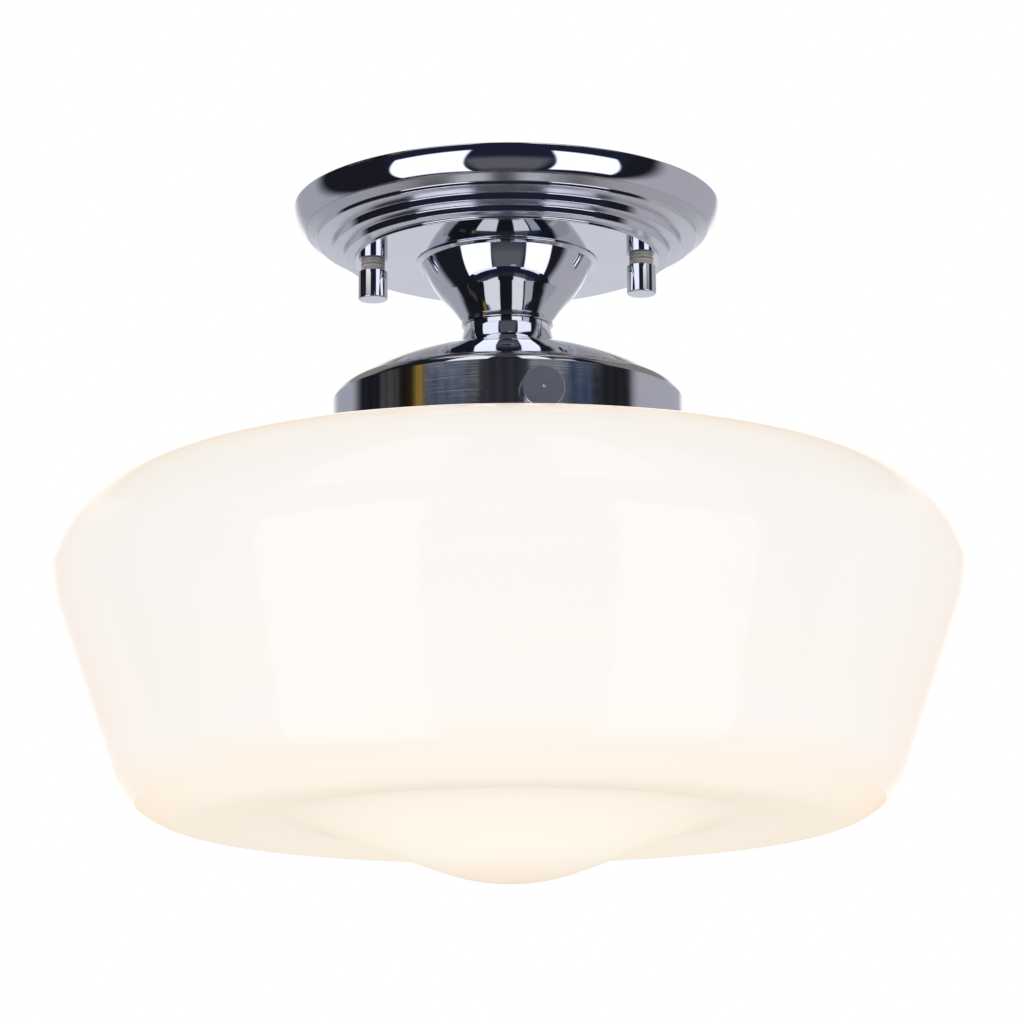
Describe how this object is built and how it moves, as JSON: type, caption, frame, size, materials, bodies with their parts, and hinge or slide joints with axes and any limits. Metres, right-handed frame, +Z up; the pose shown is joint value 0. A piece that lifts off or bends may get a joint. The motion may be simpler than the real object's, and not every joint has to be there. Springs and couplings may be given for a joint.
{
  "type": "semi flush ceiling light",
  "caption": "Semi flush ceiling light with a stepped round canopy, a short bell neck, a shade holder with thumbscrews and a one piece tapered opal glass shade with a low dome below.",
  "frame": {"origin": "centre of the ceiling plane, where the mounting bar meets the outlet box", "axes": "+Z up into the ceiling, X through the two cap nuts, -Y towards the viewer"},
  "size_m": [0.295, 0.295, 0.224],
  "materials": {
    "polished_chrome": "polished chrome plate",
    "washer_tan": "smooth grooved washer",
    "satin_steel": "satin nickel plate",
    "soft_tip": "soft tip",
    "zinc_steel": "zinc plated",
    "bushing_plastic": "moulded",
    "socket_cap_metal": "dull aluminium",
    "porcelain": "glazed porcelain",
    "shell_brass": "plain brass",
    "black_insulation": "insulated wire",
    "white_insulation": "insulated wire",
    "bare_copper": "bare copper",
    "green_screw": "green coated",
    "connector_plastic": "moulded",
    "opal_glass": "glossy opal glass",
    "bulb_glass": "frosted",
    "base_metal": "rolled metal",
    "insulator_glass": "dark glass",
    "contact_metal": "soldered contact"
  },
  "bodies": {
    "fixture": {"black_lead": "black_insulation", "canopy": "polished_chrome", "canopy_studs": "zinc_steel", "centre_contact": "shell_brass", "fixture_bar": "zinc_steel", "ground_screw": "green_screw", "ground_wire": "bare_copper", "holder_bosses": "zinc_steel", "lampholder_body": "porcelain", "lampholder_cap": "socket_cap_metal", "lower_lock_nut": "zinc_steel", "lower_lock_washer": "zinc_steel", "neck_cup": "polished_chrome", "screw_shell": "shell_brass", "shade_holder": "polished_chrome", "stem": "zinc_steel", "stem_bushing": "bushing_plastic", "stud_lock_nuts": "zinc_steel", "swivel_eyelet": "zinc_steel", "terminal_screw_brass": "shell_brass", "terminal_screw_silver": "zinc_steel", "upper_lock_nut": "zinc_steel", "upper_lock_washer": "zinc_steel", "white_lead": "white_insulation", "wire_connectors": "connector_plastic"},
    "box_bar": {"box_bar": "zinc_steel"},
    "shade": {"glass_shade": "opal_glass"},
    "bulb_seat": {"bulb_contact": "contact_metal", "bulb_insulator": "insulator_glass"},
    "bulb": {"bulb_base": "base_metal", "bulb_envelope": "bulb_glass"},
    "collar_left": {"cap_nut_collar_left": "washer_tan"},
    "cap_nut_left": {"cap_nut_left": "polished_chrome"},
    "collar_right": {"cap_nut_collar_right": "washer_tan"},
    "cap_nut_right": {"cap_nut_right": "polished_chrome"},
    "screw_tip_1": {"thumbscrew_tip_1": "soft_tip"},
    "thumbscrew_1": {"thumbscrew_1": "satin_steel"},
    "screw_tip_2": {"thumbscrew_tip_2": "soft_tip"},
    "thumbscrew_2": {"thumbscrew_2": "satin_steel"},
    "screw_tip_3": {"thumbscrew_tip_3": "soft_tip"},
    "thumbscrew_3": {"thumbscrew_3": "satin_steel"}
  },
  "joints": [
    {"name": "box_bar_swivel", "type": "hinge", "parent": "fixture", "child": "box_bar", "pos_m": [0, 0, 0], "axis": [0, 0, 1], "range_deg": [-60, 60]},
    {"name": "shade_lift_off", "type": "slide", "parent": "fixture", "child": "shade", "axis": [0, 0, -1], "range_m": [0, 0.165]},
    {"name": "bulb_travel", "type": "slide", "parent": "fixture", "child": "bulb_seat", "axis": [0, 0, -1], "range_m": [0, 0.02541]},
    {"name": "bulb_turn", "type": "hinge", "parent": "bulb_seat", "child": "bulb", "pos_m": [0, 0, -0.1], "axis": [0, 0, -1], "range_deg": [0, 2520]},
    {"name": "cap_nut_travel_left", "type": "slide", "parent": "fixture", "child": "collar_left", "axis": [0, 0, -1], "range_m": [0, 0.00873]},
    {"name": "cap_nut_turn_left", "type": "hinge", "parent": "collar_left", "child": "cap_nut_left", "pos_m": [-0.04445, 0, -0.025], "axis": [0, 0, -1], "range_deg": [0, 3960]},
    {"name": "cap_nut_travel_right", "type": "slide", "parent": "fixture", "child": "collar_right", "axis": [0, 0, -1], "range_m": [0, 0.00873]},
    {"name": "cap_nut_turn_right", "type": "hinge", "parent": "collar_right", "child": "cap_nut_right", "pos_m": [0.04445, 0, -0.025], "axis": [0, 0, -1], "range_deg": [0, 3960]},
    {"name": "thumbscrew_travel_1", "type": "slide", "parent": "fixture", "child": "screw_tip_1", "axis": [0.225, -0.9744, 0], "range_m": [0, 0.00476]},
    {"name": "thumbscrew_turn_1", "type": "hinge", "parent": "screw_tip_1", "child": "thumbscrew_1", "pos_m": [0.0135, -0.05846, -0.077], "axis": [0.225, -0.9744, 0], "range_deg": [0, 2160]},
    {"name": "thumbscrew_travel_2", "type": "slide", "parent": "fixture", "child": "screw_tip_2", "axis": [0.7314, 0.682, 0], "range_m": [0, 0.00476]},
    {"name": "thumbscrew_turn_2", "type": "hinge", "parent": "screw_tip_2", "child": "thumbscrew_2", "pos_m": [0.04388, 0.04092, -0.077], "axis": [0.7314, 0.682, 0], "range_deg": [0, 2160]},
    {"name": "thumbscrew_travel_3", "type": "slide", "parent": "fixture", "child": "screw_tip_3", "axis": [-0.9563, 0.2924, 0], "range_m": [0, 0.00476]},
    {"name": "thumbscrew_turn_3", "type": "hinge", "parent": "screw_tip_3", "child": "thumbscrew_3", "pos_m": [-0.05738, 0.01754, -0.077], "axis": [-0.9563, 0.2924, 0], "range_deg": [0, 2160]}
  ],
  "couplings": [
    {"joint": "bulb_turn", "follows": "bulb_travel", "rad_per_m": 1730.9},
    {"joint": "cap_nut_turn_left", "follows": "cap_nut_travel_left", "rad_per_m": 7915.8},
    {"joint": "cap_nut_turn_right", "follows": "cap_nut_travel_right", "rad_per_m": 7915.8},
    {"joint": "thumbscrew_turn_1", "follows": "thumbscrew_travel_1", "rad_per_m": 7915.8},
    {"joint": "thumbscrew_turn_2", "follows": "thumbscrew_travel_2", "rad_per_m": 7915.8},
    {"joint": "thumbscrew_turn_3", "follows": "thumbscrew_travel_3", "rad_per_m": 7915.8}
  ]
}
